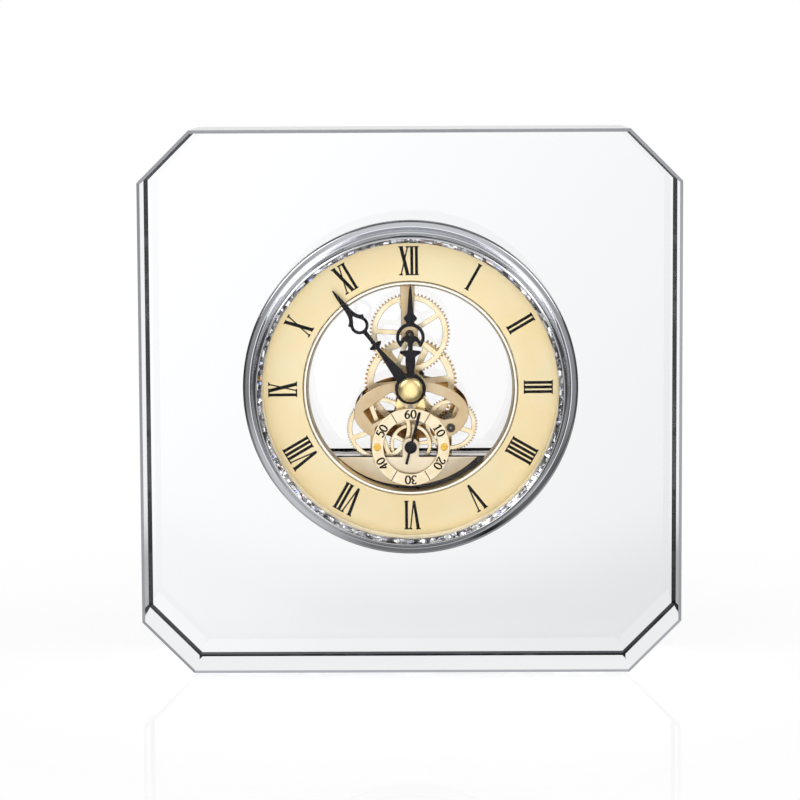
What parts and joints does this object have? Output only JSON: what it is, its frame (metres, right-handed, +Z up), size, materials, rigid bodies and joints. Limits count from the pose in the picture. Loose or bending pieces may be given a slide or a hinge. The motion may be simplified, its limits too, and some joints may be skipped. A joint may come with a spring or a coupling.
{
  "type": "crystal table clock",
  "caption": "Square bevelled glass block with cut corners that holds a round see-through quartz clock with a gold dial ring, ornate hands and a seconds sub-dial.",
  "frame": {"origin": "middle of the glass block's bottom face", "axes": "+Z up, the dial faces -Y, +X to the right of someone who reads the dial"},
  "size_m": [0.167, 0.065, 0.168],
  "materials": {
    "crystal": "polished optical glass",
    "lens_glass": "polished",
    "clear_plastic": "clear",
    "chrome": "mirror polished",
    "gold_dial": "satin gold lacquer with black numerals",
    "champagne_plate": "satin champagne plating",
    "pale_gold": "satin pale gold plating",
    "gold_brass": "polished",
    "steel": "turned",
    "black_hands": "satin black",
    "dark_plastic": "gloss dark brown",
    "grey_plastic": "moulded",
    "rubber": "matte",
    "copper": "lacquered copper wire",
    "board": "solder mask",
    "cell_shell": "plain silver jacket"
  },
  "bodies": {
    "clock": {"crystal_block": "crystal", "bezel": "chrome", "lens": "lens_glass", "lens_spacer": "clear_plastic", "dial_ring": "gold_dial", "dial_inner_ring": "chrome", "mounting_ring": "dark_plastic", "case_sleeve": "clear_plastic", "grip_ring": "rubber", "back_cover": "clear_plastic", "cover_screw_top": "steel", "cover_screw_right": "steel", "cover_screw_left": "steel", "segment_plate": "champagne_plate", "movement_case": "dark_plastic", "battery": "cell_shell", "contact_positive": "steel", "contact_negative": "steel", "circuit_board": "board", "quartz_can": "steel", "coil": "copper", "stator": "steel", "front_plate": "champagne_plate", "rear_plate": "gold_brass", "plate_pillar": "gold_brass", "upper_bridge": "champagne_plate", "rear_bridge": "pale_gold", "subdial_ring": "pale_gold", "subdial_screw_left": "gold_brass", "subdial_screw_right": "gold_brass", "jewel_upper": "steel", "jewel_left": "steel", "jewel_right": "steel", "minute_stud": "steel"},
    "seconds": {"seconds_arbor": "steel", "seconds_wheel": "pale_gold", "seconds_hand": "black_hands"},
    "third": {"third_arbor": "steel", "third_wheel": "pale_gold"},
    "centre": {"centre_hub": "steel", "centre_wheel": "gold_brass", "clutch_spring": "steel"},
    "upper": {"upper_arbor": "steel", "upper_wheel": "pale_gold"},
    "right": {"right_arbor": "steel", "right_wheel": "pale_gold"},
    "step": {"step_wheel": "grey_plastic"},
    "rotor": {"rotor_pinion": "grey_plastic", "rotor_magnet": "steel"},
    "minute": {"minute_arbor": "steel", "minute_hand": "black_hands", "hand_nut": "gold_brass", "setting_knob": "dark_plastic"},
    "motion": {"minute_wheel": "gold_brass"},
    "hour": {"hour_wheel": "gold_brass", "hour_hand": "black_hands"},
    "door": {"battery_door": "dark_plastic"}
  },
  "joints": [
    {"name": "seconds_turn", "type": "hinge", "parent": "clock", "child": "seconds", "pos_m": [0, -0.02, 0.07065], "axis": [0, 1, 0], "continuous": true},
    {"name": "third_turn", "type": "hinge", "parent": "clock", "child": "third", "pos_m": [-0.00966, -0.02, 0.0759], "axis": [0, 1, 0], "continuous": true},
    {"name": "centre_turn", "type": "hinge", "parent": "clock", "child": "centre", "pos_m": [0, -0.02, 0.089], "axis": [0, 1, 0], "continuous": true},
    {"name": "upper_turn", "type": "hinge", "parent": "clock", "child": "upper", "pos_m": [-0.0002, -0.02, 0.10528], "axis": [0, 1, 0], "continuous": true},
    {"name": "right_turn", "type": "hinge", "parent": "clock", "child": "right", "pos_m": [0.01236, -0.02, 0.07647], "axis": [0, 1, 0], "continuous": true},
    {"name": "step_turn", "type": "hinge", "parent": "clock", "child": "step", "pos_m": [0.00134, -0.02, 0.06307], "axis": [0, 1, 0], "continuous": true},
    {"name": "rotor_turn", "type": "hinge", "parent": "clock", "child": "rotor", "pos_m": [0.00458, -0.02, 0.06301], "axis": [0, 1, 0], "continuous": true},
    {"name": "minute_turn", "type": "hinge", "parent": "clock", "child": "minute", "pos_m": [0, -0.02, 0.089], "axis": [0, 1, 0], "continuous": true},
    {"name": "motion_turn", "type": "hinge", "parent": "clock", "child": "motion", "pos_m": [0, -0.02, 0.083], "axis": [0, 1, 0], "continuous": true},
    {"name": "hour_turn", "type": "hinge", "parent": "clock", "child": "hour", "pos_m": [0, -0.02, 0.089], "axis": [0, 1, 0], "continuous": true},
    {"name": "battery_door_slide", "type": "slide", "parent": "clock", "child": "door", "axis": [0, 1, 0], "range_m": [0, 0.012]}
  ],
  "couplings": [
    {"joint": "third_turn", "follows": "seconds_turn", "ratio": -0.10667},
    {"joint": "centre_turn", "follows": "seconds_turn", "ratio": 0.016667},
    {"joint": "upper_turn", "follows": "seconds_turn", "ratio": -0.10667},
    {"joint": "right_turn", "follows": "seconds_turn", "ratio": -0.066667},
    {"joint": "step_turn", "follows": "seconds_turn", "ratio": -6},
    {"joint": "rotor_turn", "follows": "seconds_turn", "ratio": 30},
    {"joint": "motion_turn", "follows": "minute_turn", "ratio": -0.33333},
    {"joint": "hour_turn", "follows": "minute_turn", "ratio": 0.083333}
  ]
}
